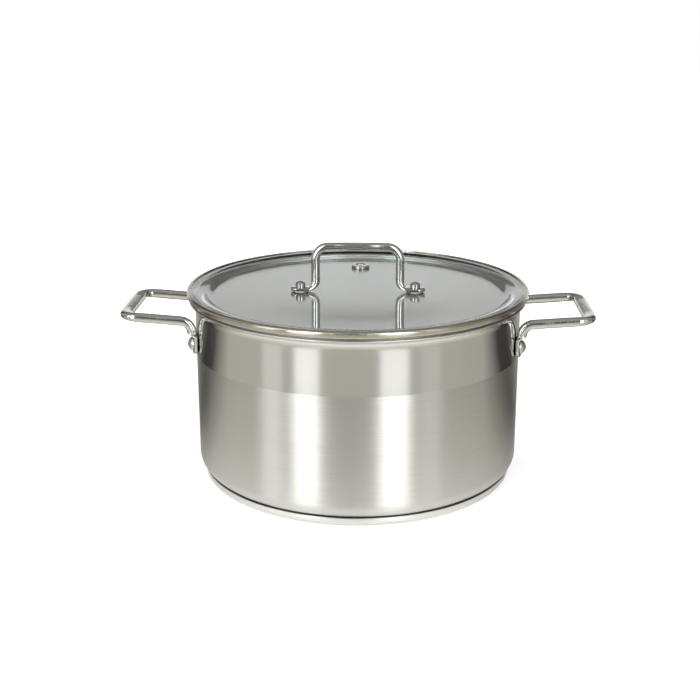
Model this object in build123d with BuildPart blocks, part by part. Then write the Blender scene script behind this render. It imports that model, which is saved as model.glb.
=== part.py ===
from build123d import *
import os
from math import asin, atan, cos, degrees, radians, sin

# Two-handled stainless steel cooking pot with a flat glass lid, in millimetres.
# +Z is up and the origin is the middle of the base, on the surface the pot stands on.
# The side handles lie along X, and the steam vent of the lid is on the +Y side.

os.makedirs("parts", exist_ok=True)

# Vessel
body_diameter = 240.0  # outside, straight wall
body_wall = 0.8
body_corner_radius = 12.0  # outside, between wall and bottom
mouth_height = 135.4  # top edge of the pouring lip
lip_height = 7.5  # upper part of the wall, turned outwards
lip_flare = 4.4  # how far the lip stands out from the wall

# Sandwich base
base_inset = 4.2  # from the wall in to the edge of the base
base_cap_thickness = 0.8
base_cap_height = 6.6
base_cap_corner = 4.4
base_core_thickness = 4.9
base_core_clearance = 0.1

# Side handles, bent from round rod with pressed grip and pressed feet
handle_rod = 7.0
handle_span = 69.4  # between the two arms of one handle
handle_reach = 47.7  # from the vessel's wall to the middle of the grip
handle_drop = 13.6  # from the mouth down to the elbow
handle_tilt = 4.3  # degrees, the arms rise outwards
handle_elbow_radius = 8.5
handle_corner_radius = 9.0
handle_wall_gap = 0.3
grip_width = 9.4
grip_thickness = 4.6
foot_width = 12.0
foot_thickness = 3.4
foot_wall_gap = 0.1
foot_end = 7.8  # from the rivet down to the end of the foot
foot_start = 5.4  # from the rivet up to where the pressing runs out
foot_press_length = 2.8  # round rod turns into flat foot over this length

# Handle rivets
rivet_drop = 16.2  # from the elbow down to the rivet
rivet_shank = 4.0
rivet_hole_clearance = 0.1
rivet_head_diameter = 10.6
rivet_head_height = 3.5
rivet_inner_diameter = 9.0
rivet_inner_height = 1.4
rivet_seat_gap = 0.05

# Lid: glass dish with a raised edge, held by a rolled steel rim
lid_overhang = 1.35  # how far the rim stands out past the lip
lid_seat_gap = 0.3
lid_seat_place = 0.72  # how far up the curve of the lip the lid rests, as a share of it
rim_lift = 1.4  # open slot between the lip and the rim
rim_steel = 0.7
rim_glass_gap = 0.05
rim_top_width = 3.2
rim_bottom_width = 3.6
rim_corner_radius = 2.0
glass_thickness = 3.6
glass_recess = 4.65  # the flat middle lies this far below the raised edge
glass_recess_run = 12.0  # width of the curved step
glass_edge_width = 7.3  # flat edge outside the step
glass_edge_radius = 1.6

# Lid handle, bent from round rod with pressed grip and pressed feet
lid_rod = 6.4
lid_handle_width = 62.4  # between the two posts
lid_handle_height = 36.9  # from the glass to the top of the bends
lid_bend_radius = 9.5
lid_foot_bend_radius = 6.2
lid_grip_width = 9.0
lid_grip_thickness = 4.4
lid_grip_press_length = 5.0
lid_foot_width = 10.6
lid_foot_thickness = 2.6
lid_foot_end = 7.4  # from the screw to the end of the foot
lid_screw_spacing = 85.0

# Lid handle fasteners
screw_diameter = 4.0
screw_hole_clearance = 0.25
screw_nut_clearance = 0.05
screw_head_diameter = 9.0
screw_head_height = 2.2
nut_diameter = 7.4
nut_height = 4.4
nut_crown = 1.5
seat_washer_diameter = 10.0
seat_washer_thickness = 0.8
under_washer_diameter = 13.0
under_washer_thickness = 1.0

# Steam vent
vent_offset = 79.0  # from the middle of the lid
vent_diameter = 14.4
vent_height = 2.2
vent_wall = 0.6
vent_bore = 8.4
vent_neck_wall = 0.6
vent_hole_clearance = 0.1
vent_swage = 1.0
vent_slots = 6
vent_slot_width = 3.4
vent_washer_diameter = 15.0
vent_washer_thickness = 0.8
vent_collar_thickness = 0.6

# Bent rod is drawn as a rounded square that is all but round, so that it can be pressed flat
ROD_ROUNDNESS = 0.48  # corner radius of the rod, as a share of its width
PRESSED_ROUNDNESS = 0.42  # corner radius of a pressed part, as a share of its thickness

# Levels and radii that follow from the sizes above
body_radius = body_diameter / 2
base_radius = body_radius - base_inset
body_bottom = base_cap_thickness + base_core_thickness
lip_angle = 2 * atan(lip_flare / lip_height)
lip_start = mouth_height - lip_height - body_wall * sin(lip_angle)
lip_radius = lip_height / sin(lip_angle)

leg_radius = body_radius + handle_wall_gap + handle_rod / 2
leg_angle = asin(handle_span / 2 / leg_radius)
elbow_z = mouth_height - handle_drop
rivet_z = elbow_z - rivet_drop
foot_inner = body_radius + foot_wall_gap
foot_outer = foot_inner + foot_thickness

rim_radius = body_radius + lip_flare + lid_overhang
rim_bottom = mouth_height + rim_lift
seat_reach = lip_radius + body_wall + lid_seat_gap
seat_radius = body_radius + lip_radius - seat_reach * cos(lid_seat_place * lip_angle)
seat_height = lip_start + seat_reach * sin(lid_seat_place * lip_angle)
rim_top = rim_bottom + 2 * (rim_steel + rim_glass_gap) + glass_thickness
glass_radius = rim_radius - rim_steel - rim_glass_gap
glass_top = rim_top - rim_steel - rim_glass_gap - glass_recess
glass_bottom = glass_top - glass_thickness
glass_flat_radius = glass_radius - glass_edge_width - glass_recess_run
step_angle = 2 * atan(glass_recess / glass_recess_run)
step_radius = glass_recess_run / 2 / sin(step_angle)

lid_foot_bottom = glass_top + seat_washer_thickness
lid_foot_top = lid_foot_bottom + lid_foot_thickness
screw_x = lid_screw_spacing / 2
screw_hole_radius = screw_diameter / 2 + screw_hole_clearance
under_washer_bottom = glass_bottom - under_washer_thickness

vent_neck_radius = vent_bore / 2 + vent_neck_wall
vent_hole_radius = vent_neck_radius + vent_hole_clearance
vent_washer_bottom = glass_bottom - vent_washer_thickness
vent_collar_bottom = vent_washer_bottom - vent_collar_thickness


def wall_plane(turn, distance):
    """Plane that faces outwards from the vessel at rivet height, at an angle about Z."""
    outwards = Vector(cos(turn), sin(turn), 0)
    along = Vector(-sin(turn), cos(turn), 0)
    return Plane(outwards * distance + Vector(0, 0, rivet_z), x_dir=along, z_dir=outwards)


def rod_section(plane, width, thickness, roundness):
    """Cross section of a bent rod, width along the plane's X and thickness along its Y."""
    with BuildSketch(plane) as section:
        RectangleRounded(width, thickness, min(width, thickness) * roundness)
    return section.sketch


def dome_middle(base, height, radius):
    """Point half way along a dome's outline, for a dome of this height over this base radius."""
    ball = (height**2 + radius**2) / (2 * height)
    half = asin(radius / ball) / 2
    return (base + height - ball * (1 - cos(half)), ball * sin(half))


def flat_ring(name, x, y, bottom, thickness, diameter, hole_radius):
    """Flat washer."""
    with BuildPart() as washer:
        with BuildSketch(Plane((x, y, bottom))):
            Circle(diameter / 2)
            Circle(hole_radius, mode=Mode.SUBTRACT)
        extrude(amount=thickness)
    washer.part.label = name
    export_step(washer.part, f"parts/{name}.step")


# Vessel, drawn from one sheet, with a pouring lip and four rivet holes
with BuildPart() as pot_body:
    with BuildSketch(Plane.XZ):
        with BuildLine():
            floor = Line((0, body_bottom), (body_radius - body_corner_radius, body_bottom))
            corner = JernArc(floor @ 1, (1, 0), body_corner_radius, 90)
            wall = Line(corner @ 1, (body_radius, lip_start))
            JernArc(wall @ 1, (0, 1), lip_radius, -degrees(lip_angle))
            offset(amount=body_wall, side=Side.LEFT)
        make_face()
    revolve(axis=Axis.Z)
    for side in (0, radians(180)):
        for turn in (-leg_angle, leg_angle):
            with BuildSketch(wall_plane(side + turn, body_radius - 3 * body_wall)):
                Circle(rivet_shank / 2 + rivet_hole_clearance)
            extrude(amount=6 * body_wall, mode=Mode.SUBTRACT)
pot_body.part.label = "pot_body"
export_step(pot_body.part, "parts/pot_body.step")

# Aluminium disc that spreads the heat, sealed between vessel and base cap
with BuildPart() as base_core:
    with BuildSketch(Plane.XY.offset(base_cap_thickness)):
        Circle(base_radius - base_cap_thickness - base_core_clearance)
    extrude(amount=base_core_thickness)
    fillet(base_core.edges().group_by(Axis.Z)[0], base_cap_corner)
base_core.part.label = "base_core"
export_step(base_core.part, "parts/base_core.step")

# Steel cap pressed round the disc, which is the face the pot stands on
with BuildPart() as base_cap:
    with BuildSketch(Plane.XZ):
        with BuildLine():
            cap_floor = Line((0, 0), (base_radius - base_cap_corner, 0))
            cap_corner = JernArc(cap_floor @ 1, (1, 0), base_cap_corner, 90)
            Line(cap_corner @ 1, (base_radius, base_cap_height))
            offset(amount=base_cap_thickness, side=Side.LEFT)
        make_face()
    revolve(axis=Axis.Z)
base_cap.part.label = "base_cap"
export_step(base_cap.part, "parts/base_cap.step")

# Side handle: foot, neck, arm and half the grip are made on the -Y side and mirrored
arm = Vector(cos(radians(handle_tilt)), 0, sin(radians(handle_tilt)))
across = Vector(0, 1, 0)
upwards = Vector(0, 0, 1)
elbow = Vector(leg_radius * cos(leg_angle), -handle_span / 2, elbow_z)
arm_length = (body_radius + handle_reach - elbow.X) / cos(radians(handle_tilt))
grip_corner = elbow + arm * arm_length
arm_end = grip_corner - arm * handle_corner_radius
grip_start = grip_corner + across * handle_corner_radius
leg_start = elbow + upwards * (foot_start + foot_press_length - rivet_drop)
foot_face = wall_plane(-leg_angle, foot_inner)
foot_middle = wall_plane(-leg_angle, (foot_inner + foot_outer) / 2)
foot_top = Plane(foot_middle.origin + upwards * foot_start, x_dir=foot_middle.x_dir, z_dir=upwards)
foot_section = rod_section(foot_top, foot_width, foot_thickness, PRESSED_ROUNDNESS)
leg_plane = Plane(leg_start, x_dir=across, z_dir=upwards)
leg_section = rod_section(leg_plane, handle_rod, handle_rod, ROD_ROUNDNESS)
arm_plane = Plane(arm_end, x_dir=across, z_dir=arm)
arm_section = rod_section(arm_plane, handle_rod, handle_rod, ROD_ROUNDNESS)
grip_plane = Plane(grip_start, x_dir=-arm, z_dir=across)
grip_section = rod_section(grip_plane, grip_width, grip_thickness, PRESSED_ROUNDNESS)

with BuildPart() as handle_right:
    extrude(foot_section, amount=foot_start + foot_end, dir=-upwards)
    with BuildSketch(foot_face):
        with Locations((0, foot_width / 2 - foot_end)):
            Circle(foot_width / 2)
            with Locations((0, foot_width / 2 + foot_end)):
                Rectangle(foot_width + 1, foot_width + 2 * foot_end)
        Circle(rivet_shank / 2 + rivet_hole_clearance, mode=Mode.SUBTRACT)
    extrude(amount=2 * foot_thickness, both=True, mode=Mode.INTERSECT)
    loft([foot_section, leg_section])
    with BuildLine() as arm_path:
        FilletPolyline(leg_start, elbow, arm_end, radius=handle_elbow_radius)
    sweep(leg_section, path=arm_path.wires()[0])
    with BuildLine(Plane(arm_end, x_dir=arm, z_dir=arm.cross(across))) as corner_path:
        JernArc((0, 0), (1, 0), handle_corner_radius, 90)
    sweep([arm_section, grip_section], path=corner_path.wires()[0], multisection=True)
    extrude(grip_section, amount=handle_span / 2 - handle_corner_radius, dir=across)
    mirror(about=Plane.XZ)
handle_right.part.label = "handle_right"
export_step(handle_right.part, "parts/handle_right.step")

with BuildPart() as handle_left:
    mirror(handle_right.part, about=Plane.YZ)
handle_left.part.label = "handle_left"
export_step(handle_left.part, "parts/handle_left.step")


# Rivets through the feet and the wall, domed outside and low inside
def handle_rivet(name, turn):
    """Rivet on the radial line at this angle about Z."""
    seat = body_radius - body_wall - rivet_seat_gap
    seat -= (rivet_inner_diameter / 2) ** 2 / body_diameter
    start = (seat - rivet_inner_height, 0)
    end = (foot_outer + rivet_head_height, 0)
    inner_middle = dome_middle(-seat, rivet_inner_height, rivet_inner_diameter / 2)
    outer_middle = dome_middle(foot_outer, rivet_head_height, rivet_head_diameter / 2)
    outwards = Vector(cos(turn), sin(turn), 0)
    centre = Vector(0, 0, rivet_z)
    with BuildPart() as rivet:
        with BuildSketch(Plane(centre, x_dir=outwards, z_dir=(sin(turn), -cos(turn), 0))):
            with BuildLine():
                inner_edge = (seat, rivet_inner_diameter / 2)
                outer_edge = (foot_outer, rivet_head_diameter / 2)
                ThreePointArc(start, (-inner_middle[0], inner_middle[1]), inner_edge)
                Polyline(inner_edge, (seat, rivet_shank / 2), (foot_outer, rivet_shank / 2), outer_edge)
                ThreePointArc(outer_edge, outer_middle, end)
                Line(end, start)
            make_face()
        revolve(axis=Axis(centre, outwards))
    rivet.part.label = name
    export_step(rivet.part, f"parts/{name}.step")


handle_rivet("rivet_right_rear", leg_angle)
handle_rivet("rivet_right_front", -leg_angle)
handle_rivet("rivet_left_rear", radians(180) - leg_angle)
handle_rivet("rivet_left_front", radians(180) + leg_angle)

# Lid glass, pressed with a raised edge, with holes for handle screws and vent
with BuildPart() as lid_glass:
    with BuildSketch(Plane.XZ) as glass_outline:
        with BuildLine():
            middle = Line((0, glass_top), (glass_flat_radius, glass_top))
            rise = JernArc(middle @ 1, (1, 0), step_radius, degrees(step_angle))
            level = JernArc(rise @ 1, rise % 1, step_radius, -degrees(step_angle))
            Line(level @ 1, (glass_radius, glass_top + glass_recess))
            offset(amount=glass_thickness, side=Side.RIGHT)
        make_face()
        fillet(glass_outline.vertices().group_by(Axis.X)[-1], glass_edge_radius)
    revolve(axis=Axis.Z)
    with BuildSketch(Plane.XY.offset(glass_bottom)):
        with Locations((-screw_x, 0), (screw_x, 0)):
            Circle(screw_hole_radius)
        with Locations((0, vent_offset)):
            Circle(vent_hole_radius)
    extrude(amount=glass_thickness, mode=Mode.SUBTRACT)
lid_glass.part.label = "lid_glass"
export_step(lid_glass.part, "parts/lid_glass.step")

# Lid rim, steel strip rolled round the edge of the glass, with a skirt that rests in the lip
fold = rim_corner_radius
fold_radius = rim_radius - fold
folds = [radians(angle) for angle in (0, 30, 60, 90)]
with BuildPart() as lid_rim:
    with BuildSketch(Plane.XZ):
        with BuildLine():
            Polyline(
                (seat_radius, seat_height),
                (rim_radius - rim_bottom_width, rim_bottom),
                *[(fold_radius + fold * sin(t), rim_bottom + fold - fold * cos(t)) for t in folds],
                *[(fold_radius + fold * cos(t), rim_top - fold + fold * sin(t)) for t in folds],
                (rim_radius - rim_top_width, rim_top),
            )
            offset(amount=rim_steel, side=Side.LEFT, kind=Kind.INTERSECTION)
        make_face()
    revolve(axis=Axis.Z)
lid_rim.part.label = "lid_rim"
export_step(lid_rim.part, "parts/lid_rim.step")

# Lid handle: foot, post and half the grip are made on the +X side and mirrored
post_x = lid_handle_width / 2
lid_foot_middle = lid_foot_bottom + lid_foot_thickness / 2
lid_grip_z = glass_top + lid_handle_height - lid_rod / 2
lid_foot_x = post_x + lid_foot_bend_radius
lid_foot_stop = screw_x + lid_foot_end
lid_bar_x = post_x - lid_bend_radius - lid_rod / 10
lid_press_x = lid_bar_x - lid_grip_press_length
inwards = Vector(-1, 0, 0)
foot_bend_start = Vector(lid_foot_x, 0, lid_foot_middle)
post_start = Vector(post_x, 0, lid_foot_middle + lid_foot_bend_radius)
bar_start = Vector(lid_bar_x, 0, lid_grip_z)
lid_foot_plane = Plane(foot_bend_start, x_dir=across, z_dir=inwards)
lid_foot_section = rod_section(lid_foot_plane, lid_foot_width, lid_foot_thickness, PRESSED_ROUNDNESS)
post_plane = Plane(post_start, x_dir=across, z_dir=upwards)
post_section = rod_section(post_plane, lid_rod, lid_rod, ROD_ROUNDNESS)
bar_plane = Plane(bar_start, x_dir=across, z_dir=inwards)
bar_section = rod_section(bar_plane, lid_rod, lid_rod, ROD_ROUNDNESS)
press_plane = bar_plane.offset(lid_grip_press_length)
press_section = rod_section(press_plane, lid_grip_width, lid_grip_thickness, PRESSED_ROUNDNESS)

with BuildPart() as lid_handle:
    extrude(lid_foot_section, amount=lid_foot_stop - lid_foot_x, dir=-inwards)
    with BuildSketch(Plane.XY.offset(lid_foot_middle)):
        with Locations((lid_foot_stop - lid_foot_width / 2, 0)):
            Circle(lid_foot_width / 2)
            with Locations((-lid_foot_width, 0)):
                Rectangle(2 * lid_foot_width, lid_foot_width + 1)
        with Locations((screw_x, 0)):
            Circle(screw_hole_radius, mode=Mode.SUBTRACT)
    extrude(amount=lid_foot_thickness, both=True, mode=Mode.INTERSECT)
    with BuildLine(Plane.XZ) as foot_bend:
        JernArc((lid_foot_x, lid_foot_middle), (-1, 0), lid_foot_bend_radius, -90)
    sweep([lid_foot_section, post_section], path=foot_bend.wires()[0], multisection=True)
    with BuildLine() as post_path:
        FilletPolyline(post_start, (post_x, 0, lid_grip_z), bar_start, radius=lid_bend_radius)
    sweep(post_section, path=post_path.wires()[0])
    loft([bar_section, press_section])
    extrude(press_section, amount=lid_press_x, dir=inwards)
    mirror(about=Plane.YZ)
lid_handle.part.label = "lid_handle"
export_step(lid_handle.part, "parts/lid_handle.step")


# Handle screws from below, into round cap nuts on the feet, with soft washers on both glass faces
def lid_screw(name, x):
    """Pan-head screw, head under the glass."""
    head = under_washer_bottom - screw_head_height
    edge = under_washer_bottom - screw_head_height / 3
    tip = lid_foot_top + nut_height - 1.6 * nut_crown
    with BuildPart() as screw:
        with BuildSketch(Plane((x, 0, 0), x_dir=(1, 0, 0), z_dir=(0, -1, 0))):
            with BuildLine():
                rise = dome_middle(-edge, edge - head, screw_head_diameter / 2)
                ThreePointArc((0, head), (rise[1], -rise[0]), (screw_head_diameter / 2, edge))
                Polyline(
                    (screw_head_diameter / 2, edge),
                    (screw_head_diameter / 2, under_washer_bottom),
                    (screw_diameter / 2, under_washer_bottom),
                    (screw_diameter / 2, tip),
                    (0, tip),
                    (0, head),
                )
            make_face()
        revolve(axis=Axis((x, 0, 0), (0, 0, 1)))
    screw.part.label = name
    export_step(screw.part, f"parts/{name}.step")


def lid_nut(name, x):
    """Round cap nut with a domed crown and a blind hole."""
    shoulder = lid_foot_top + nut_height - nut_crown
    with BuildPart() as nut:
        with BuildSketch(Plane((x, 0, 0), x_dir=(1, 0, 0), z_dir=(0, -1, 0))):
            with BuildLine():
                crown = dome_middle(shoulder, nut_crown, nut_diameter / 2)
                bore = screw_diameter / 2 + screw_nut_clearance
                bore_top = lid_foot_top + nut_height - 1.4 * nut_crown
                Polyline(
                    (0, shoulder + nut_crown),
                    (0, bore_top),
                    (bore, bore_top),
                    (bore, lid_foot_top),
                    (nut_diameter / 2, lid_foot_top),
                    (nut_diameter / 2, shoulder),
                )
                ThreePointArc((nut_diameter / 2, shoulder), (crown[1], crown[0]), (0, shoulder + nut_crown))
            make_face()
        revolve(axis=Axis((x, 0, 0), (0, 0, 1)))
    nut.part.label = name
    export_step(nut.part, f"parts/{name}.step")


for side, x in (("left", -screw_x), ("right", screw_x)):
    flat_ring(
        f"lid_seat_washer_{side}",
        x,
        0,
        glass_top,
        seat_washer_thickness,
        seat_washer_diameter,
        screw_hole_radius,
    )
    flat_ring(
        f"lid_under_washer_{side}",
        x,
        0,
        under_washer_bottom,
        under_washer_thickness,
        under_washer_diameter,
        screw_hole_radius,
    )
    lid_screw(f"lid_screw_{side}", x)
    lid_nut(f"lid_nut_{side}", x)

# Steam vent, a slotted ring whose neck goes through the glass and is swaged over a collar
with BuildPart() as vent_ring:
    with BuildSketch(Plane((0, vent_offset, 0), x_dir=(1, 0, 0), z_dir=(0, -1, 0))):
        with BuildLine():
            Polyline(
                (vent_bore / 2, vent_collar_bottom - vent_neck_wall),
                (vent_neck_radius + vent_swage, vent_collar_bottom - vent_neck_wall),
                (vent_neck_radius + vent_swage, vent_collar_bottom),
                (vent_neck_radius, vent_collar_bottom),
                (vent_neck_radius, glass_top),
                (vent_diameter / 2, glass_top),
                (vent_diameter / 2, glass_top + vent_height),
                (vent_bore / 2, glass_top + vent_height),
                (vent_bore / 2, glass_top + vent_height - vent_wall),
                (vent_diameter / 2 - vent_wall, glass_top + vent_height - vent_wall),
                (vent_diameter / 2 - vent_wall, glass_top + vent_neck_wall),
                (vent_bore / 2, glass_top + vent_neck_wall),
                close=True,
            )
        make_face()
    revolve(axis=Axis((0, vent_offset, 0), (0, 0, 1)))
    fillet(vent_ring.edges().group_by(Axis.Z)[-1].sort_by(SortBy.LENGTH)[-1], vent_wall / 2)
    slot_height = vent_height - vent_wall - vent_neck_wall
    with BuildSketch(Plane((0, vent_offset, glass_top + vent_neck_wall))):
        with PolarLocations(vent_diameter / 2, vent_slots, start_angle=90):
            Rectangle(3 * vent_wall, vent_slot_width)
    extrude(amount=slot_height, mode=Mode.SUBTRACT)
vent_ring.part.label = "vent_ring"
export_step(vent_ring.part, "parts/vent_ring.step")

# Soft washer and steel collar under the glass, held by the swaged neck
flat_ring(
    "vent_washer",
    0,
    vent_offset,
    vent_washer_bottom,
    vent_washer_thickness,
    vent_washer_diameter,
    vent_hole_radius,
)
flat_ring(
    "vent_collar",
    0,
    vent_offset,
    vent_collar_bottom,
    vent_collar_thickness,
    vent_diameter,
    vent_hole_radius,
)
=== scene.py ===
from math import asin, atan, atan2, cos, pi, radians, sin, tan

import bmesh
import bpy
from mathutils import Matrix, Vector


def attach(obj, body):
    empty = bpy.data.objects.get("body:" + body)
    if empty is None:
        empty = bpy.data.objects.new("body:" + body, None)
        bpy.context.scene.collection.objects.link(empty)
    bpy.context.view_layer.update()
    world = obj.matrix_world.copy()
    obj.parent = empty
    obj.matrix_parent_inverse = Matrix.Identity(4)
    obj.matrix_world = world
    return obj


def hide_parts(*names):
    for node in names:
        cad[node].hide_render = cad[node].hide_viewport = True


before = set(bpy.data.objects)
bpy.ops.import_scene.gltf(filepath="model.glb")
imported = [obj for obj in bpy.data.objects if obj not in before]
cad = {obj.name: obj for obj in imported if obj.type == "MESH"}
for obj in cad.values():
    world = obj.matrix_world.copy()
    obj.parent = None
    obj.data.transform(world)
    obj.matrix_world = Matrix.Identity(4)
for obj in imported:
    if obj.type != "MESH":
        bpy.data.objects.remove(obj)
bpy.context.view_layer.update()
scene = bpy.context.scene

# Camera: stands a little to the right of the pot's middle, about 0.9 m off,
# and looks down on the lid by some 17 degrees.
camera = bpy.data.objects.new("camera", bpy.data.cameras.new("camera"))
scene.collection.objects.link(camera)
scene.camera = camera
camera.data.sensor_width = 36.0
camera.data.lens = 61.15
camera.data.clip_start, camera.data.clip_end = 0.05, 20.0
camera.location = (0.0254, -0.8549, 0.3574)
look_at = Vector((-0.0057, 0.0, 0.0910))
camera.rotation_euler = (look_at - camera.location).to_track_quat("-Z", "Y").to_euler()


# Vessel: one sheet of stainless steel, deep drawn, with the mouth turned out to a pouring lip.
# The wall is brushed on the lathe up to a polished band under the lip, and the inside is satin.
def linear(hex_colour):
    """Linear colour, with alpha, of an sRGB hex colour."""
    channels = [int(hex_colour[i:i + 2], 16) / 255 for i in (0, 2, 4)]
    return (*[c / 12.92 if c <= 0.04045 else ((c + 0.055) / 1.055) ** 2.4 for c in channels], 1.0)


def add(tree, kind, links=None, values=None, **settings):
    """Adds a node with its settings, its input values and its links, and returns it."""
    made = tree.nodes.new(kind)
    for name, setting in settings.items():
        setattr(made, name, setting)
    for socket, value in (values or {}).items():
        made.inputs[socket].default_value = value
    for socket, source in (links or {}).items():
        tree.links.new(source, made.inputs[socket])
    return made


def arc(r, z, radius, start, stop, steps):
    """Points along an arc of a turned piece's outline, angles in degrees from outwards, up."""
    turns = [radians(start + (stop - start) * i / steps) for i in range(steps + 1)]
    return [(r + radius * cos(t), z + radius * sin(t)) for t in turns]


def turned(name, outline, finishes, finish_of=None, segments=320):
    """Turned piece: a closed outline of (radius, height) in mm, spun round Z."""
    points, faces, slots, rings = [], [], [], []
    for r, z in outline:
        if r < 1e-6:
            rings.append([len(points)] * segments)
            points.append((0.0, 0.0, z / 1000))
        else:
            rings.append(list(range(len(points), len(points) + segments)))
            for j in range(segments):
                t = 2 * pi * j / segments
                points.append((r * cos(t) / 1000, r * sin(t) / 1000, z / 1000))
    for i, ring in enumerate(rings):
        after = rings[(i + 1) % len(rings)]
        if ring[0] == ring[1] and after[0] == after[1]:
            continue
        for j in range(segments):
            k = (j + 1) % segments
            corners = [ring[j], ring[k], after[k], after[j]]
            faces.append(tuple(dict.fromkeys(corners)))
            slots.append(finish_of(outline[i], outline[(i + 1) % len(outline)]) if finish_of else 0)
    mesh = bpy.data.meshes.new(name)
    mesh.from_pydata(points, [], faces)
    for finish in finishes:
        mesh.materials.append(finish)
    mesh.polygons.foreach_set("material_index", slots)
    shell = bmesh.new()
    shell.from_mesh(mesh)
    bmesh.ops.recalc_face_normals(shell, faces=shell.faces)
    shell.to_mesh(mesh)
    shell.free()
    mesh.shade_smooth()
    mesh.set_sharp_from_angle(angle=radians(32))
    piece = bpy.data.objects.new(name, mesh)
    scene.collection.objects.link(piece)
    return piece


# Most of a noise texture's values lie between these two.
noise_low, noise_high = 0.3, 0.7


def lathe_brushed_steel(name, colour, roughness, spread_up, line_mm, depth):
    """Stainless steel brushed round Z: fine lines, and highlights that smear up and down."""
    material = bpy.data.materials.new(name)
    material.use_nodes = True
    tree = material.node_tree
    shader = tree.nodes["Principled BSDF"]
    shader.inputs["Metallic"].default_value = 1.0
    shader.inputs["Anisotropic"].default_value = spread_up
    shader.inputs["Anisotropic Rotation"].default_value = 0.25
    place = add(tree, "ShaderNodeTexCoord").outputs["Object"]
    xyz = add(tree, "ShaderNodeSeparateXYZ", {0: place})
    turn = add(tree, "ShaderNodeMath", {0: xyz.outputs[1], 1: xyz.outputs[0]}, operation="ARCTAN2")
    # A brush line is some 30 degrees long. On the outside, lines are drawn about 10 times as coarse
    # as the real 0.06 mm grit, so that they show at this size.
    lines_per_radian, cloud_mm, cloud_share = 1.9, 40.0, 0.35
    rise = add(tree, "ShaderNodeMath", {0: xyz.outputs[2]}, {1: 1000 / line_mm}, operation="MULTIPLY")
    spin = add(tree, "ShaderNodeMath", {0: turn.outputs[0]}, {1: lines_per_radian}, operation="MULTIPLY")
    along = add(tree, "ShaderNodeCombineXYZ", {0: spin.outputs[0], 2: rise.outputs[0]})
    lines = add(tree, "ShaderNodeTexNoise", {"Vector": along.outputs[0]}, {"Scale": 1.0, "Detail": 3.0})
    # Cloudy variation, from handling and from the drawing die.
    clouds = add(tree, "ShaderNodeTexNoise", {"Vector": place}, {"Scale": 1000 / cloud_mm, "Detail": 2.0})
    both = add(tree, "ShaderNodeMix", {"A": lines.outputs[0], "B": clouds.outputs[0]},
               {"Factor": cloud_share})
    # Sockets 1 and 2 of a Map Range hold the range that comes in, 3 and 4 the range that goes out,
    # and sockets 6 and 7 of a colour Mix hold its two colours.
    rough_swing, darker, paler = 0.07, 0.92, 1.07
    rough = add(tree, "ShaderNodeMapRange", {0: both.outputs[0]},
                {1: noise_low, 2: noise_high, 3: roughness - rough_swing, 4: roughness + rough_swing})
    tree.links.new(rough.outputs[0], shader.inputs["Roughness"])
    tone = add(tree, "ShaderNodeMapRange", {0: both.outputs[0]},
               {1: noise_low, 2: noise_high, 3: 0.0, 4: 1.0})
    tint = add(tree, "ShaderNodeMix", {"Factor": tone.outputs[0]}, data_type="RGBA")
    base = linear(colour)
    tint.inputs[6].default_value = (*[c * darker for c in base[:3]], 1.0)
    tint.inputs[7].default_value = (*[min(1.0, c * paler) for c in base[:3]], 1.0)
    tree.links.new(tint.outputs[2], shader.inputs["Base Color"])
    bump = add(tree, "ShaderNodeBump", {"Height": lines.outputs[0]}, {"Strength": depth, "Distance": 0.0001})
    tree.links.new(bump.outputs[0], shader.inputs["Normal"])
    round_z = add(tree, "ShaderNodeTangent", direction_type="RADIAL", axis="Z")
    tree.links.new(round_z.outputs[0], shader.inputs["Tangent"])
    return material


def polished_steel(name, colour, roughness, haze_mm, waviness=0.05):
    """Buffed stainless steel: mirror-like, with faint haze and a slightly wavy surface."""
    material = bpy.data.materials.new(name)
    material.use_nodes = True
    tree = material.node_tree
    shader = tree.nodes["Principled BSDF"]
    shader.inputs["Metallic"].default_value = 1.0
    shader.inputs["Base Color"].default_value = linear(colour)
    place = add(tree, "ShaderNodeTexCoord").outputs["Object"]
    # Roughness runs from a clearer to a hazier share of its mean, and the waves are 4 hazes long.
    clearer, hazier, wave_mm = 0.6, 1.5, 4 * haze_mm
    haze = add(tree, "ShaderNodeTexNoise", {"Vector": place}, {"Scale": 1000 / haze_mm, "Detail": 4.0})
    rough = add(tree, "ShaderNodeMapRange", {0: haze.outputs[0]},
                {1: noise_low, 2: noise_high, 3: roughness * clearer, 4: roughness * hazier})
    tree.links.new(rough.outputs[0], shader.inputs["Roughness"])
    wave = add(tree, "ShaderNodeTexNoise", {"Vector": place}, {"Scale": 1000 / wave_mm, "Detail": 1.0})
    bump = add(tree, "ShaderNodeBump", {"Height": wave.outputs[0]},
               {"Strength": waviness, "Distance": 0.0004})
    tree.links.new(bump.outputs[0], shader.inputs["Normal"])
    return material


wall_radius, sheet, floor_level = 120.0, 0.8, 5.7
corner, mouth, lip_rise, lip_out = 12.0, 135.4, 7.5, 4.4
lip_turn = 2 * atan(lip_out / lip_rise)
lip_bend = lip_rise / sin(lip_turn)
lip_from = mouth - lip_rise - sheet * sin(lip_turn)
lip_middle = wall_radius + lip_bend
# The lip's edge is ground round, so that the bend ends half a sheet short of it.
lip_stop = 180 - (lip_turn - sheet / 2 / (lip_bend + sheet / 2)) * 180 / pi
band_from, band_middle, wall_rings = 95.8, 112.0, (40.0, 70.0)

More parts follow.
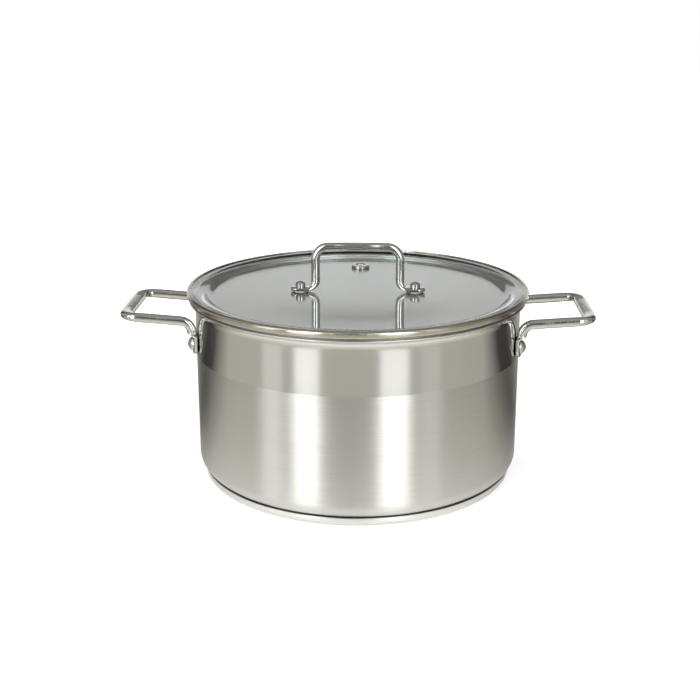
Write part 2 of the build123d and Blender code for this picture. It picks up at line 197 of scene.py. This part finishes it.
vessel_outside = [(0.0, floor_level)]
vessel_outside += arc(wall_radius - corner, floor_level + corner, corner, -90, 0, 14)
vessel_outside += [(wall_radius, z) for z in (*wall_rings, band_from, band_middle)]
vessel_outside += arc(lip_middle, lip_from, lip_bend, 180, lip_stop, 12)
lip_edge = (lip_middle + (lip_bend + sheet / 2) * cos(radians(lip_stop)),
            lip_from + (lip_bend + sheet / 2) * sin(radians(lip_stop)))
vessel_inside = arc(*lip_edge, sheet / 2, lip_stop - 180, lip_stop, 8)[1:-1]
vessel_inside += arc(lip_middle, lip_from, lip_bend + sheet, lip_stop, 180, 12)
vessel_inside += [(wall_radius - sheet, z) for z in (band_middle, *reversed(wall_rings))]
vessel_inside += arc(wall_radius - corner, floor_level + corner, corner - sheet, 0, -90, 14)
vessel_inside += [(0.0, floor_level + sheet)]


def vessel_finish(start, end):
    """Brushed wall 0, polished band 1, satin edge and inside 2."""
    if start in vessel_outside and end in vessel_outside:
        return 1 if min(start[1], end[1]) > band_from - 0.1 else 0
    return 2


# Brushed steel smears each highlight into an upright streak, broken by fine level lines.
brushed_wall = lathe_brushed_steel("brushed_wall_steel", "CDCAC4", 0.35, 0.95, 0.7, 0.05)
# Polished steel shows the same highlights clear-edged, a shade darker than the brushed wall.
polished_band = polished_steel("polished_band_steel", "CECCC7", 0.05, 18.0)
# Satin steel, dulled by fine grit, gives broad soft glows inside and no lines that the eye can part.
# Its colour, paler than the brushed wall's, is painted light: it brightens the inside, where little lamp
# light reaches, and the rim's skirt shares it.
satin_inside = lathe_brushed_steel("satin_inside_steel", "DAD9D6", 0.45, 0.65, 0.12, 0.0)
vessel = turned("vessel", vessel_outside + vessel_inside, [brushed_wall, polished_band, satin_inside],
                vessel_finish)
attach(vessel, "pot")
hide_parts("pot_body")


# Heat-spreading disc: rolled aluminium, soldered under the vessel and hidden by the base cap.
# It keeps the matt, faintly mottled skin of rolled sheet.
def mottled(name, colour, roughness, metallic, mottle_mm):
    """Plain dull surface with a fine mottle in tone and roughness."""
    material = bpy.data.materials.new(name)
    material.use_nodes = True
    tree = material.node_tree
    shader = tree.nodes["Principled BSDF"]
    shader.inputs["Metallic"].default_value = metallic
    place = add(tree, "ShaderNodeTexCoord").outputs["Object"]
    rough_swing, darker, paler = 0.08, 0.9, 1.08
    grain = add(tree, "ShaderNodeTexNoise", {"Vector": place}, {"Scale": 1000 / mottle_mm, "Detail": 4.0})
    tint = add(tree, "ShaderNodeMix", {"Factor": grain.outputs[0]}, data_type="RGBA")
    base = linear(colour)
    tint.inputs[6].default_value = (*[c * darker for c in base[:3]], 1.0)
    tint.inputs[7].default_value = (*[min(1.0, c * paler) for c in base[:3]], 1.0)
    tree.links.new(tint.outputs[2], shader.inputs["Base Color"])
    rough = add(tree, "ShaderNodeMapRange", {0: grain.outputs[0]},
                {1: noise_low, 2: noise_high, 3: roughness - rough_swing, 4: roughness + rough_swing})
    tree.links.new(rough.outputs[0], shader.inputs["Roughness"])
    bump = add(tree, "ShaderNodeBump", {"Height": grain.outputs[0]}, {"Strength": 0.1, "Distance": 0.0001})
    tree.links.new(bump.outputs[0], shader.inputs["Normal"])
    return material


def finish(names, material):
    """Gives CAD nodes their finish."""
    for name in names:
        cad[name].data.materials.clear()
        cad[name].data.materials.append(material)


# Rolled aluminium is a paler, duller grey than the steel round it.
finish(["base_core"], mottled("rolled_aluminium", "C9CACB", 0.4, 1.0, 1.5))

# Base cap: a shallow stainless dish pressed round the disc, brushed like the wall.
# It is the face that the pot stands on, and leaves a dark groove below the wall's corner.
cap_radius, cap_corner, cap_top, cap_sheet, cap_ring, cap_bevel = 115.8, 4.4, 6.6, 0.8, 60.0, 0.2
cap_outline = [(0.0, 0.0), (cap_ring, 0.0)]
cap_outline += arc(cap_radius - cap_corner, cap_corner, cap_corner, -90, 0, 10)
cap_outline += [(cap_radius, cap_top - cap_bevel), (cap_radius - cap_bevel, cap_top),
                (cap_radius - cap_sheet, cap_top)]
cap_outline += arc(cap_radius - cap_corner, cap_corner, cap_corner - cap_sheet, 0, -90, 10)
cap_outline += [(cap_ring, cap_sheet), (0.0, cap_sheet)]
# Brushed round like the wall, it shows shorter and paler highlights on its small corner.
brushed_base = lathe_brushed_steel("brushed_base_steel", "DAD8D3", 0.33, 0.8, 0.5, 0.03)
base = turned("base", cap_outline, [brushed_base])
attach(base, "pot")
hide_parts("base_cap")


# Side handles: 7 mm stainless rod, bent at four corners and pressed flat at the grip and at the feet.
# They are tumbled and buffed, which leaves a soft shine.
rod_sides, press_square = 48, 1.3


def ease(share):
    """Smooth step from 0 to 1."""
    share = min(1.0, max(0.0, share))
    return share * share * (3 - 2 * share)


def ring_of_rod(middle, side, over, width, thickness, pressed):
    """Cross section of a rod in mm: round, or flattened with soft edges where it is pressed."""
    power = 2.0 / (2.0 + press_square * pressed)
    ring = []
    for j in range(rod_sides):
        c, s = cos(2 * pi * j / rod_sides), sin(2 * pi * j / rod_sides)
        across = width / 2 * abs(c) ** power * (1 if c > 0 else -1)
        up = thickness / 2 * abs(s) ** power * (1 if s > 0 else -1)
        ring.append(middle + side * across + over * up)
    return ring


def rod(name, rings, material):
    """Skin over the cross sections of a bent rod, closed at both ends."""
    count = len(rings[0])
    points = [tuple(point / 1000) for ring in rings for point in ring]
    faces = [tuple(range(count)), tuple(range((len(rings) - 1) * count, len(rings) * count))]
    for i in range(len(rings) - 1):
        for j in range(count):
            k = (j + 1) % count
            faces.append((i * count + j, i * count + k, (i + 1) * count + k, (i + 1) * count + j))
    mesh = bpy.data.meshes.new(name)
    mesh.from_pydata(points, [], faces)
    mesh.materials.append(material)
    skin = bmesh.new()
    skin.from_mesh(mesh)
    bmesh.ops.recalc_face_normals(skin, faces=skin.faces)
    skin.to_mesh(mesh)
    skin.free()
    mesh.shade_smooth()
    mesh.set_sharp_from_angle(angle=radians(50))
    piece = bpy.data.objects.new(name, mesh)
    scene.collection.objects.link(piece)
    return piece


def foot_end(width, thickness):
    """Rounded end of a pressed foot: distance in from its tip, width and thickness there."""
    # The first step is a short one, so that the tip closes in a small flat, half as thick as the foot.
    last, first_step, thickening = 12, 0.35, 4
    steps = []
    for i in range(last + 1):
        turn = pi / 2 * (i + first_step) / (last + first_step)
        thick = thickness * (0.5 + 0.5 * ease(i / thickening))
        steps.append((width / 2 * (1 - cos(turn)), width * sin(turn), thick))
    return steps


# Tumbled and buffed rod has soft-edged highlights along each bar.
buffed_rod = polished_steel("buffed_rod_steel", "CFCCC6", 0.12, 6.0)
bar, span, reach, rise_angle, elbow_bend, grip_bend = 7.0, 69.4, 47.7, radians(4.3), 8.5, 9.0
grip_wide, grip_thick, foot_wide, foot_thick = 9.4, 4.6, 12.0, 3.4
elbow_level, rivet_level = 121.8, 105.6
leg_gap, foot_gap, foot_below, press_above, press_end_above = 0.3, 0.1, 7.8, 5.4, 8.2
leg_out = wall_radius + leg_gap + bar / 2
leg_turn = -asin(span / 2 / leg_out)
outwards = Vector((cos(leg_turn), sin(leg_turn), 0))
along_wall = Vector((-sin(leg_turn), cos(leg_turn), 0))
up, back = Vector((0, 0, 1)), Vector((0, 1, 0))
arm = Vector((cos(rise_angle), 0, sin(rise_angle)))
under_arm = Vector((sin(rise_angle), 0, -cos(rise_angle)))
elbow = outwards * leg_out + up * elbow_level
foot_line = outwards * (wall_radius + foot_gap + foot_thick / 2)
foot_tip = rivet_level - foot_below
press_from, press_to = rivet_level + press_above, rivet_level + press_end_above

rings = []
for depth, wide, thick in foot_end(foot_wide, foot_thick):
    rings.append(ring_of_rod(foot_line + up * (foot_tip + depth), along_wall, outwards, wide, thick, 1.0))
for i in range(13):
    share = ease(i / 12)
    level = press_from + (press_to - press_from) * i / 12
    middle = (foot_line * (1 - share) + elbow.xy.to_3d() * share) + up * level
    facing = (outwards * (1 - share) + Vector((1, 0, 0)) * share).normalized()
    rings.append(ring_of_rod(middle, up.cross(facing), facing, foot_wide + (bar - foot_wide) * share,
                             foot_thick + (bar - foot_thick) * share, 1 - share))
elbow_turn = pi / 2 - rise_angle
setback = elbow_bend * tan(elbow_turn / 2)
pivot = elbow - up * setback + Vector((1, 0, 0)) * elbow_bend
for i in range(1, 17):
    t = elbow_turn * i / 16
    facing = Vector((cos(t), 0, -sin(t)))
    rings.append(ring_of_rod(pivot - facing * elbow_bend, back, facing, bar, bar, 0.0))
arm_length = (wall_radius + reach - elbow.x) / cos(rise_angle)
arm_stop = arm_length - grip_bend
press_run = 9.0
for i in range(1, 9):
    place = setback + (arm_stop - press_run - setback) * i / 8
    rings.append(ring_of_rod(elbow + arm * place, back, under_arm, bar, bar, 0.0))
bend_length = grip_bend * pi / 2
whole = bend_length + 2 * press_run
for i in range(1, 37):
    run = whole * i / 36
    share = ease(run / whole)
    turn = min(pi / 2, max(0.0, (run - press_run) / grip_bend))
    middle = elbow + arm * (arm_stop + grip_bend * sin(turn)) + back * grip_bend * (1 - cos(turn))
    middle += arm * min(0.0, run - press_run) + back * max(0.0, run - press_run - bend_length)
    side = back * cos(turn) - arm * sin(turn)
    rings.append(ring_of_rod(middle, side, under_arm, bar + (grip_wide - bar) * share,
                             bar + (grip_thick - bar) * share, share))
grip_line = elbow + arm * arm_length
for i in range(1, 5):
    start = span / 2 - grip_bend - press_run
    middle = Vector((grip_line.x, -start * (1 - i / 4), grip_line.z))
    rings.append(ring_of_rod(middle, -arm, under_arm, grip_wide, grip_thick, 1.0))
rings += [[Vector((p.x, -p.y, p.z)) for p in ring] for ring in reversed(rings[:-1])]
for side, way in (("right", 1), ("left", -1)):
    handle = rod(f"side_handle_{side}", [[Vector((way * p.x, p.y, p.z)) for p in ring] for ring in rings],
                 buffed_rod)
    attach(handle, "pot")
    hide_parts(f"handle_{side}")

# Rivets: stainless, two to a handle, with a dome outside and a low head inside.
# They hold the pressed feet to the wall, and their heads are buffed after setting.
# Each buffed dome gives one small bright highlight.
buffed_rivet = polished_steel("buffed_rivet_steel", "CDCAC5", 0.11, 3.0)
finish([f"rivet_{side}_{end}" for side in ("left", "right") for end in ("front", "rear")], buffed_rivet)

# Lid glass: 3.6 mm soda-lime glass, pressed into a shallow dish and tempered.
# It is drilled for the handle's screws and for the vent.
glass_level, glass_sheet, glass_edge = 136.5, 3.6, 125.0
glass_rise, glass_flat, glass_run, glass_rings = 4.65, 105.7, 12.0, (30.0, 70.0)
step_turn = 2 * atan(glass_rise / glass_run) * 180 / pi
step_bend = glass_run / 2 / sin(radians(step_turn))
upper, lower = glass_level + step_bend, glass_level + glass_rise - step_bend
edge_round = 1.6
glass_outline = [(r, glass_level) for r in (0.0, *glass_rings)]
glass_outline += arc(glass_flat, upper, step_bend, -90, -90 + step_turn, 14)
glass_outline += arc(glass_flat + glass_run, lower, step_bend, 90 + step_turn, 90, 14)[1:]
glass_outline += arc(glass_edge - edge_round, glass_level + glass_rise - edge_round, edge_round, 90, 0, 6)
glass_outline += arc(glass_edge - edge_round, glass_level + glass_rise - glass_sheet + edge_round,
                     edge_round, 0, -90, 6)
glass_outline += arc(glass_flat + glass_run, lower, step_bend - glass_sheet, 90, 90 + step_turn, 14)
glass_outline += arc(glass_flat, upper, step_bend + glass_sheet, -90 + step_turn, -90, 14)[1:]
glass_outline += [(r, glass_level - glass_sheet) for r in (*reversed(glass_rings), 0.0)]

# Tempered soda-lime glass is clear with a faint green cast, and mirrors more at a low angle.
tempered_glass = bpy.data.materials.new("tempered_glass")
tempered_glass.use_nodes = True
tree = tempered_glass.node_tree
shader = tree.nodes["Principled BSDF"]
shader.inputs["Base Color"].default_value = linear("F3F7F5")
shader.inputs["IOR"].default_value = 1.52
shader.inputs["Transmission Weight"].default_value = 1.0
# Wipe marks, some 25 mm across, only just dull the shine.
place = add(tree, "ShaderNodeTexCoord").outputs["Object"]
wipes = add(tree, "ShaderNodeTexNoise", {"Vector": place}, {"Scale": 1 / 0.025, "Detail": 3.0})
dulling = add(tree, "ShaderNodeMapRange", {0: wipes.outputs[0]}, {1: 0.45, 2: 0.75, 3: 0.0, 4: 0.006})
tree.links.new(dulling.outputs[0], shader.inputs["Roughness"])
lid_glass = turned("glass", glass_outline, [tempered_glass], segments=288)

screw_place, screw_hole, vent_place, vent_hole, drill_length = 42.5, 2.25, 79.0, 4.9, 20.0
holes = [(-screw_place, 0.0, screw_hole), (screw_place, 0.0, screw_hole), (0.0, vent_place, vent_hole)]
for x, y, radius in holes:
    drill_mesh = bpy.data.meshes.new("drill")
    drill = bmesh.new()
    bmesh.ops.create_cone(drill, cap_ends=True, segments=64, radius1=radius / 1000, radius2=radius / 1000,
                          depth=drill_length / 1000)
    drill.to_mesh(drill_mesh)
    drill.free()
    drill_bit = bpy.data.objects.new("drill", drill_mesh)
    scene.collection.objects.link(drill_bit)
    drill_bit.location = (x / 1000, y / 1000, glass_level / 1000)
    hole = lid_glass.modifiers.new("hole", "BOOLEAN")
    hole.object = drill_bit
    hole.operation = "DIFFERENCE"
    hole.solver = "EXACT"
    bpy.context.view_layer.update()
    drilled = bpy.data.meshes.new_from_object(lid_glass.evaluated_get(bpy.context.evaluated_depsgraph_get()))
    lid_glass.modifiers.clear()
    lid_glass.data = drilled
    bpy.data.objects.remove(drill_bit)
lid_glass.data.shade_smooth()
lid_glass.data.set_sharp_from_angle(angle=radians(32))
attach(lid_glass, "lid")
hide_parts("lid_glass")

# Lid rim: 0.7 mm stainless strip rolled round the edge of the glass, with a skirt below
# that centres the lid in the lip and rests on it. It is buffed after rolling.
rim_edge, rim_low, rim_high, rim_sheet, rim_round = 125.75, 136.8, 141.9, 0.7, 2.0
rim_under, rim_over, seat_gap = 3.6, 3.2, 0.3
rest_share = 0.72
rest_place, rest_bend = rest_share * lip_turn, lip_bend + sheet + seat_gap
rest = (lip_middle - rest_bend * cos(rest_place), lip_from + rest_bend * sin(rest_place))
skirt_top = (rim_edge - rim_under, rim_low)
skirt_turn = atan2(skirt_top[1] - rest[1], skirt_top[0] - rest[0])
skirt_out = (-sin(skirt_turn), cos(skirt_turn))
# The small bend between skirt and rim, outside and inside, as points off the skirt's top.
bend_outside, bend_inside = ((-0.1, -0.45), (0.12, -0.14), (0.5, 0.0)), ((-0.15, rim_sheet), (-0.6, 0.35))
tip_bevel, tip_bevel_down = 0.25, 0.2
rim_outline = [rest]
rim_outline += [(skirt_top[0] + r, skirt_top[1] + z) for r, z in bend_outside]
rim_outline += arc(rim_edge - rim_round, rim_low + rim_round, rim_round, -90, 0, 10)
rim_outline += arc(rim_edge - rim_round, rim_high - rim_round, rim_round, 0, 90, 10)
rim_outline += [(rim_edge - rim_over + tip_bevel, rim_high), (rim_edge - rim_over, rim_high - tip_bevel_down),
                (rim_edge - rim_over, rim_high - rim_sheet)]
rim_outline += arc(rim_edge - rim_round, rim_high - rim_round, rim_round - rim_sheet, 90, 0, 8)
rim_outline += arc(rim_edge - rim_round, rim_low + rim_round, rim_round - rim_sheet, 0, -90, 8)
rim_outline += [(skirt_top[0] + r, skirt_top[1] + z) for r, z in bend_inside]
rim_outline += [(rest[0] + skirt_out[0] * rim_sheet, rest[1] + skirt_out[1] * rim_sheet)]
# Buffed only lightly, the band is a warm, hazy mirror, and the skirt keeps the satin of the sheet.
# The band's colour, darker than the other steel's, is painted shade that stands in for the dim surroundings
# it mirrors.
buffed_rim = polished_steel("buffed_rim_steel", "BFB8A9", 0.2, 10.0, 0.015)


def rim_finish(start, end):
    """Buffed band 0, satin skirt 1."""
    return 1 if max(start[0], end[0]) < skirt_top[0] + 0.2 and max(start[1], end[1]) < rim_high - 2 else 0


rim = turned("rim", rim_outline, [buffed_rim, satin_inside], rim_finish)
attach(rim, "lid")
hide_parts("lid_rim")

# Lid handle: 6.4 mm stainless rod, bent to a square arch and buffed like the side handles.
# The grip and the two feet are pressed flat, and a screw holds each foot to the glass.
lid_bar, arch, arch_top, arch_bend, lid_foot_bend = 6.4, 62.4, 170.2, 9.5, 6.2
lid_grip_wide, lid_grip_thick, lid_foot_wide, lid_foot_thick, lid_foot_tip = 9.0, 4.4, 10.6, 2.6, 49.9
lid_foot_level, lid_press_run, post = 138.6, 18.0, arch / 2
rings = []
for depth, wide, thick in foot_end(lid_foot_wide, lid_foot_thick):
    rings.append(ring_of_rod(Vector((lid_foot_tip - depth, 0, lid_foot_level)), back, up, wide, thick, 1.0))
for i in range(19):
    t, share = pi / 2 * i / 18, ease(i / 18)
    facing = Vector((sin(t), 0, cos(t)))
    middle = Vector((post + lid_foot_bend, 0, lid_foot_level + lid_foot_bend)) - facing * lid_foot_bend
    rings.append(ring_of_rod(middle, back, facing, lid_foot_wide + (lid_bar - lid_foot_wide) * share,
                             lid_foot_thick + (lid_bar - lid_foot_thick) * share, 1 - share))
for i in range(1, 7):
    low, high = lid_foot_level + lid_foot_bend, arch_top - arch_bend
    middle = Vector((post, 0, low + (high - low) * i / 6))
    rings.append(ring_of_rod(middle, back, Vector((1, 0, 0)), lid_bar, lid_bar, 0.0))
for i in range(1, 19):
    t = pi / 2 * i / 18
    facing = Vector((cos(t), 0, sin(t)))
    middle = Vector((post - arch_bend, 0, arch_top - arch_bend)) + facing * arch_bend
    rings.append(ring_of_rod(middle, back, facing, lid_bar, lid_bar, 0.0))
for i in range(1, 25):
    place = (post - arch_bend) * (1 - i / 24)
    share = ease((post - arch_bend - place) / lid_press_run)
    thick = lid_bar + (lid_grip_thick - lid_bar) * share
    middle = Vector((place, 0, arch_top + (lid_bar - thick) / 2))
    rings.append(ring_of_rod(middle, back, up, lid_bar + (lid_grip_wide - lid_bar) * share, thick, share))
rings += [[Vector((-p.x, p.y, p.z)) for p in ring] for ring in reversed(rings[:-1])]
lid_handle = rod("lid_arch", rings, buffed_rod)
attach(lid_handle, "lid")
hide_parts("lid_handle")

# Lid fasteners: stainless screws from below into round cap nuts, with washers of milky
# silicone on both faces of the glass.
finish(["lid_screw_left", "lid_screw_right", "lid_nut_left", "lid_nut_right"], buffed_rivet)
# Moulded silicone is matt and milky, with no metal shine.
milky_silicone = mottled("milky_silicone", "C9CAC6", 0.5, 0.0, 0.8)
finish([f"lid_{kind}_washer_{side}" for kind in ("seat", "under") for side in ("left", "right")],
       milky_silicone)

# Steam vent: a slotted ring pressed from stainless sheet, whose neck is swaged under the glass
# over a steel collar and a silicone washer.
# Bright pressed sheet, a little hazier than the buffed nuts.
finish(["vent_ring", "vent_collar"], polished_steel("pressed_vent_steel", "C8C5C0", 0.14, 3.0))
finish(["vent_washer"], milky_silicone)


# Studio: a pale floor, white to the eye, that metal sees darker beside the pot,
# four upright light cards in front, a soft light above and a surround of plain grey walls.
def shows_white(tree, mirrored):
    """Share of white shown: all of it to the eye and through glass, and a part in reflections."""
    path = add(tree, "ShaderNodeLightPath").outputs
    unmirrored = add(tree, "ShaderNodeMath", {0: path["Glossy Depth"]}, {1: 0.5}, operation="LESS_THAN")
    through = add(tree, "ShaderNodeMath", {0: path["Is Transmission Ray"], 1: unmirrored.outputs[0]},
                  operation="MULTIPLY")
    shine = add(tree, "ShaderNodeMath", {0: path["Is Glossy Ray"], 1: mirrored}, operation="MULTIPLY")
    most = add(tree, "ShaderNodeMath", {0: through.outputs[0], 1: shine.outputs[0]}, operation="MAXIMUM")
    return add(tree, "ShaderNodeMath", {0: path["Is Camera Ray"], 1: most.outputs[0]},
               operation="MAXIMUM").outputs[0]


scene.view_settings.view_transform = "Standard"
bpy.ops.mesh.primitive_plane_add(size=8, location=(0, 0, -0.0002))
ground = bpy.context.object
ground.name = "ground"
paint = bpy.data.materials.new("ground_paint")
paint.use_nodes = True
ground.data.materials.append(paint)
tree = paint.node_tree
shader = tree.nodes["Principled BSDF"]
shader.inputs["Roughness"].default_value = 0.3
# Warm white satin paint, whose colour holds painted light and shade: a painted pool of light, palest close to
# the pot and fading outwards, and painted shade at its sides, pale in front of and behind the pot, which
# draws the dark edges of the polished wall. Places are in metres from the pot's middle.
where = add(tree, "ShaderNodeTexCoord").outputs["Object"]
xyz = add(tree, "ShaderNodeSeparateXYZ", {0: where})
away = add(tree, "ShaderNodeVectorMath", {0: where}, operation="LENGTH")
# Painted pool of light: the floor is palest close to the pot and darker further out.
painted_light_pool = add(tree, "ShaderNodeMapRange", {0: away.outputs["Value"]}, {1: 0.14, 2: 0.34, 3: 0.90, 4: 0.58})
# Painted shade: the floor is dark at the pot's sides and pale in front of and behind it.
beside = add(tree, "ShaderNodeMapRange", {0: xyz.outputs[1]}, {1: -0.03, 2: 0.10, 3: 1.0, 4: 0.08})
beyond = add(tree, "ShaderNodeMapRange", {0: xyz.outputs[1]}, {1: 0.18, 2: 0.45, 3: 0.08, 4: 1.0})
sideways = add(tree, "ShaderNodeMath", {0: xyz.outputs[0]}, operation="ABSOLUTE")
middle = add(tree, "ShaderNodeMapRange", {0: sideways.outputs[0]}, {1: 0.08, 2: 0.14, 3: 1.0, 4: 0.0})
either = add(tree, "ShaderNodeMath", {0: beside.outputs[0], 1: beyond.outputs[0]}, operation="MAXIMUM")
behind = add(tree, "ShaderNodeMath", {0: either.outputs[0], 1: middle.outputs[0]}, operation="MAXIMUM")
pale = add(tree, "ShaderNodeMath", {0: painted_light_pool.outputs[0], 1: behind.outputs[0]}, operation="MULTIPLY")
tone = add(tree, "ShaderNodeMix", {"Factor": pale.outputs[0]},
           {6: (0.0, 0.0, 0.0, 1.0), 7: (1.0, 0.965, 0.87, 1.0)}, data_type="RGBA")
tree.links.new(tone.outputs[2], shader.inputs["Base Color"])
# Close to the pot its metal sees the white floor too, and there the glow is weaker,
# so that the pot keeps its shadow.
ring = add(tree, "ShaderNodeMapRange", {0: away.outputs["Value"]}, {1: 0.13, 2: 0.22, 3: 0.8, 4: 0.0})
in_front = add(tree, "ShaderNodeMapRange", {0: xyz.outputs[1]}, {1: -0.12, 2: 0.0, 3: 1.0, 4: 0.3})
clear = add(tree, "ShaderNodeMath", {0: in_front.outputs[0], 1: middle.outputs[0]}, operation="MAXIMUM")
close_by = add(tree, "ShaderNodeMath", {0: ring.outputs[0], 1: clear.outputs[0]}, operation="MULTIPLY")
white = add(tree, "ShaderNodeBsdfDiffuse", None, {0: (0.9, 0.9, 0.9, 1.0)})
far_glow = add(tree, "ShaderNodeMapRange", {0: away.outputs["Value"]}, {1: 0.2, 2: 0.7, 3: 0.4, 4: 1.0})
glow = add(tree, "ShaderNodeEmission", {1: far_glow.outputs[0]}, {0: (1.0, 1.0, 1.0, 1.0)})
bright = add(tree, "ShaderNodeAddShader", {0: white.outputs[0], 1: glow.outputs[0]})
direct = shows_white(tree, close_by.outputs[0])
either = add(tree, "ShaderNodeMixShader", {0: direct, 1: shader.outputs[0], 2: bright.outputs[0]})
tree.links.new(either.outputs[0], tree.nodes["Material Output"].inputs[0])

surround = bpy.data.worlds.new("surround")
scene.world = surround
surround.use_nodes = True
tree = surround.node_tree
background = tree.nodes["Background"]
xyz = add(tree, "ShaderNodeSeparateXYZ", {0: add(tree, "ShaderNodeTexCoord").outputs["Generated"]})
ahead = add(tree, "ShaderNodeMath", {0: xyz.outputs[1]}, {1: -1.0}, operation="MULTIPLY")
turn = add(tree, "ShaderNodeMath", {0: xyz.outputs[0], 1: ahead.outputs[0]}, operation="ARCTAN2")
share = add(tree, "ShaderNodeMapRange", {0: turn.outputs[0]}, {1: -pi, 2: pi, 3: 0.0, 4: 1.0})
walls = add(tree, "ShaderNodeValToRGB", {0: share.outputs[0]})
# Brightness of the walls by the angle in degrees from straight in front.
stops = [(-180, 0.85), (-152, 0.80), (-140, 0.10), (-124, 0.16), (-112, 0.55), (-104, 0.44), (-99, 0.62),
         (-92, 0.42), (-86, 0.58), (-78, 0.40), (-70, 0.34), (-40, 0.22), (-20, 0.15), (20, 0.15), (40, 0.26),
         (48, 0.22), (58, 0.42), (66, 0.30), (74, 0.42), (82, 0.30), (92, 0.36), (104, 0.24), (140, 0.08),
         (152, 0.80), (180, 0.85)]
ramp = walls.color_ramp
while len(ramp.elements) < len(stops):
    ramp.elements.new(0.5)
for element, (angle, level) in zip(ramp.elements, stops):
    element.position = (angle + 180) / 360
    element.color = (level, level * 0.985, level * 0.95, 1.0)
overhead = add(tree, "ShaderNodeMapRange", {0: xyz.outputs[2]}, {1: 0.55, 2: 0.85, 3: 0.0, 4: 1.0})
ceiling = add(tree, "ShaderNodeMix", {"Factor": overhead.outputs[0], 6: walls.outputs[0]},
              {7: (0.42, 0.425, 0.43, 1.0)}, data_type="RGBA")
# The wall behind is bright low down and dim higher up, and its lowest middle shows as white
# in metal and glass.
lower = add(tree, "ShaderNodeMapRange", {0: xyz.outputs[2]}, {1: 0.24, 2: 0.28, 3: 1.6, 4: 0.3})
rear = add(tree, "ShaderNodeMapRange", {0: xyz.outputs[1]}, {1: 0.3, 2: 0.6, 3: 0.0, 4: 1.0})
fade = add(tree, "ShaderNodeMix", {"Factor": rear.outputs[0], "B": lower.outputs[0]}, {"A": 1.0})
tree.links.new(fade.outputs[0], background.inputs[1])
tree.links.new(ceiling.outputs[2], background.inputs[0])
plain = add(tree, "ShaderNodeBackground", None, {0: (1.0, 1.0, 1.0, 1.0), 1: 1.0})
low_down = add(tree, "ShaderNodeMapRange", {0: xyz.outputs[2]}, {1: 0.24, 2: 0.28, 3: 1.0, 4: 0.0})
far_back = add(tree, "ShaderNodeMapRange", {0: xyz.outputs[1]}, {1: 0.78, 2: 0.88, 3: 0.0, 4: 1.0})
backdrop = add(tree, "ShaderNodeMath", {0: low_down.outputs[0], 1: far_back.outputs[0]}, operation="MULTIPLY")
direct = shows_white(tree, backdrop.outputs[0])
either = add(tree, "ShaderNodeMixShader", {0: direct, 1: background.outputs[0], 2: plain.outputs[0]})
tree.links.new(either.outputs[0], tree.nodes["World Output"].inputs[0])

card_off, card_middle, card_tall = 1.6, 0.92, 1.8
for name, angle, width, power in (
        ("card_left", -32, 0.48, 15), ("card_right", 26, 0.54, 16), ("card_far_left", -57, 0.42, 4.5),
        ("card_far_right", 51, 0.40, 2.0)):
    card = bpy.data.lights.new(name, "AREA")
    card.shape = "RECTANGLE"
    card.size, card.size_y, card.energy = width, card_tall, power
    card.color = (0.92, 0.965, 1.0)
    stand = bpy.data.objects.new(name, card)
    scene.collection.objects.link(stand)
    stand.location = (card_off * sin(radians(angle)), -card_off * cos(radians(angle)), card_middle)
    stand.rotation_euler = (Vector((0, 0, card_middle)) - stand.location).to_track_quat("-Z", "Y").to_euler()
above = bpy.data.lights.new("above", "AREA")
above.size, above.energy = 2.0, 25
above_stand = bpy.data.objects.new("above", above)
scene.collection.objects.link(above_stand)
above_stand.location = (0, 0.2, 2.2)
above_stand.visible_glossy = False
